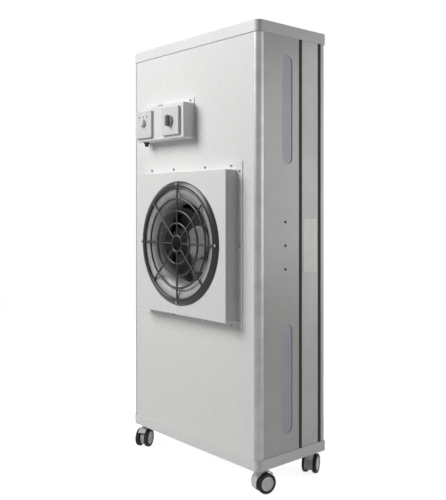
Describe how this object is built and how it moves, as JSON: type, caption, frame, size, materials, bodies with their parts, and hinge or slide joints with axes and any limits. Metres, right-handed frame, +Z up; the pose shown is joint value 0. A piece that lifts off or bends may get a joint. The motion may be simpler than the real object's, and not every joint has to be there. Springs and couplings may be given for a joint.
{
  "type": "mobile fan filter unit",
  "caption": "Upright air-cleaning cabinet on castors: front fan with ring guard and control box, pleated filter and outlet guard at the back.",
  "frame": {"origin": "middle of the whole footprint on the floor", "axes": "+Z up, -Y out of the front intake face, +X to the right for someone facing the intake"},
  "size_m": [0.605, 0.36, 1.313],
  "materials": {
    "white_powder_coat": "smooth white powder coat",
    "textured_coat": "fine orange-peel white powder coat on sheet steel",
    "side_coat": "satin grey-white powder coat",
    "satin_aluminium": "satin anodised extrusion",
    "filter_aluminium": "satin anodised extrusion",
    "outlet_coat": "satin white powder coat",
    "frosted_acrylic": "frosted, faintly lilac",
    "seal_rubber": "matt black seal",
    "filter_paper": "pleated glass-fibre filter paper",
    "spun_steel": "spun galvanised steel",
    "black_enamel": "glossy black moulding",
    "zinc_steel": "zinc plated",
    "impeller_steel": "formed aluminium sheet",
    "motor_black": "black baked paint",
    "motor_aluminium": "die cast",
    "white_switch_plastic": "moulded switch plastic",
    "grey_knob_plastic": "moulded dark grey knob",
    "lamp_plastic": "tinted lamp lens",
    "black_plastic": "black nylon",
    "label_vinyl": "bare pale label",
    "hood_plastic": "light grey nylon",
    "tyre_rubber": "black soft tyre",
    "hub_plastic": "light grey nylon"
  },
  "bodies": {
    "cabinet": {"base_frame": "white_powder_coat", "blank_label": "label_vinyl", "cable_gland": "black_plastic", "castor_front_left_stem": "zinc_steel", "castor_front_right_stem": "zinc_steel", "castor_rear_left_stem": "zinc_steel", "castor_rear_right_stem": "zinc_steel", "control_box": "textured_coat", "corner_post_left": "satin_aluminium", "corner_post_right": "satin_aluminium", "dial_plate": "white_switch_plastic", "fan_box": "textured_coat", "fan_guard": "black_enamel", "filter_frame": "filter_aluminium", "filter_media": "filter_paper", "flange_plug": "black_plastic", "guard_screws": "zinc_steel", "housing_seal": "seal_rubber", "indicator_lamps": "lamp_plastic", "inlet_ring": "spun_steel", "intake_panel": "textured_coat", "motor_base": "motor_aluminium", "motor_bracket": "zinc_steel", "outlet_frame": "outlet_coat", "outlet_guard": "outlet_coat", "outlet_seal": "seal_rubber", "panel_screws": "zinc_steel", "side_panel_left": "side_coat", "side_panel_right": "side_coat", "switch_plate": "white_switch_plastic", "top_cap": "white_powder_coat", "window_lenses": "frosted_acrylic"},
    "fan_rotor": {"impeller": "impeller_steel", "rotor_can": "motor_black"},
    "switch_knob": {"switch_knob": "grey_knob_plastic"},
    "speed_dial": {"speed_dial": "white_switch_plastic"},
    "castor_front_right_swivel": {"castor_front_right_axle": "zinc_steel", "castor_front_right_hood": "hood_plastic"},
    "castor_front_right_wheel_a": {"castor_front_right_hub_a": "hub_plastic", "castor_front_right_tyre_a": "tyre_rubber"},
    "castor_front_right_wheel_b": {"castor_front_right_hub_b": "hub_plastic", "castor_front_right_tyre_b": "tyre_rubber"},
    "castor_front_left_swivel": {"castor_front_left_axle": "zinc_steel", "castor_front_left_hood": "hood_plastic"},
    "castor_front_left_wheel_a": {"castor_front_left_hub_a": "hub_plastic", "castor_front_left_tyre_a": "tyre_rubber"},
    "castor_front_left_wheel_b": {"castor_front_left_hub_b": "hub_plastic", "castor_front_left_tyre_b": "tyre_rubber"},
    "castor_rear_right_swivel": {"castor_rear_right_axle": "zinc_steel", "castor_rear_right_hood": "hood_plastic"},
    "castor_rear_right_wheel_a": {"castor_rear_right_hub_a": "hub_plastic", "castor_rear_right_tyre_a": "tyre_rubber"},
    "castor_rear_right_wheel_b": {"castor_rear_right_hub_b": "hub_plastic", "castor_rear_right_tyre_b": "tyre_rubber"},
    "castor_rear_left_swivel": {"castor_rear_left_axle": "zinc_steel", "castor_rear_left_hood": "hood_plastic"},
    "castor_rear_left_wheel_a": {"castor_rear_left_hub_a": "hub_plastic", "castor_rear_left_tyre_a": "tyre_rubber"},
    "castor_rear_left_wheel_b": {"castor_rear_left_hub_b": "hub_plastic", "castor_rear_left_tyre_b": "tyre_rubber"}
  },
  "joints": [
    {"name": "fan_spin", "type": "hinge", "parent": "cabinet", "child": "fan_rotor", "pos_m": [0, -0.11168, 0.688], "axis": [0, -1, 0], "continuous": true},
    {"name": "switch_turn", "type": "hinge", "parent": "cabinet", "child": "switch_knob", "pos_m": [-0.034, -0.11168, 1.0596], "axis": [0, -1, 0], "range_deg": [-135, 135]},
    {"name": "dial_turn", "type": "hinge", "parent": "cabinet", "child": "speed_dial", "pos_m": [-0.174, -0.11168, 1.0646], "axis": [0, -1, 0], "range_deg": [-135, 135]},
    {"name": "castor_front_right_swivel", "type": "hinge", "parent": "cabinet", "child": "castor_front_right_swivel", "pos_m": [0.2695, -0.08118, 0.071], "axis": [0, 0, 1], "continuous": true},
    {"name": "castor_front_right_wheel_a", "type": "hinge", "parent": "castor_front_right_swivel", "child": "castor_front_right_wheel_a", "pos_m": [0.27303, -0.06456, 0.0285], "axis": [-0.9781, 0.2079, 0], "continuous": true},
    {"name": "castor_front_right_wheel_b", "type": "hinge", "parent": "castor_front_right_swivel", "child": "castor_front_right_wheel_b", "pos_m": [0.27303, -0.06456, 0.0285], "axis": [-0.9781, 0.2079, 0], "continuous": true},
    {"name": "castor_front_left_swivel", "type": "hinge", "parent": "cabinet", "child": "castor_front_left_swivel", "pos_m": [-0.2695, -0.08118, 0.071], "axis": [0, 0, 1], "continuous": true},
    {"name": "castor_front_left_wheel_a", "type": "hinge", "parent": "castor_front_left_swivel", "child": "castor_front_left_wheel_a", "pos_m": [-0.261, -0.09591, 0.0285], "axis": [0.866, 0.5, 0], "continuous": true},
    {"name": "castor_front_left_wheel_b", "type": "hinge", "parent": "castor_front_left_swivel", "child": "castor_front_left_wheel_b", "pos_m": [-0.261, -0.09591, 0.0285], "axis": [0.866, 0.5, 0], "continuous": true},
    {"name": "castor_rear_right_swivel", "type": "hinge", "parent": "cabinet", "child": "castor_rear_right_swivel", "pos_m": [0.2695, 0.13082, 0.071], "axis": [0, 0, 1], "continuous": true},
    {"name": "castor_rear_right_wheel_a", "type": "hinge", "parent": "castor_rear_right_swivel", "child": "castor_rear_right_wheel_a", "pos_m": [0.26178, 0.14596, 0.0285], "axis": [-0.891, -0.454, 0], "continuous": true},
    {"name": "castor_rear_right_wheel_b", "type": "hinge", "parent": "castor_rear_right_swivel", "child": "castor_rear_right_wheel_b", "pos_m": [0.26178, 0.14596, 0.0285], "axis": [-0.891, -0.454, 0], "continuous": true},
    {"name": "castor_rear_left_swivel", "type": "hinge", "parent": "cabinet", "child": "castor_rear_left_swivel", "pos_m": [-0.2695, 0.13082, 0.071], "axis": [0, 0, 1], "continuous": true},
    {"name": "castor_rear_left_wheel_a", "type": "hinge", "parent": "castor_rear_left_swivel", "child": "castor_rear_left_wheel_a", "pos_m": [-0.2651, 0.14724, 0.0285], "axis": [-0.9659, 0.2588, 0], "continuous": true},
    {"name": "castor_rear_left_wheel_b", "type": "hinge", "parent": "castor_rear_left_swivel", "child": "castor_rear_left_wheel_b", "pos_m": [-0.2651, 0.14724, 0.0285], "axis": [-0.9659, 0.2588, 0], "continuous": true}
  ]
}
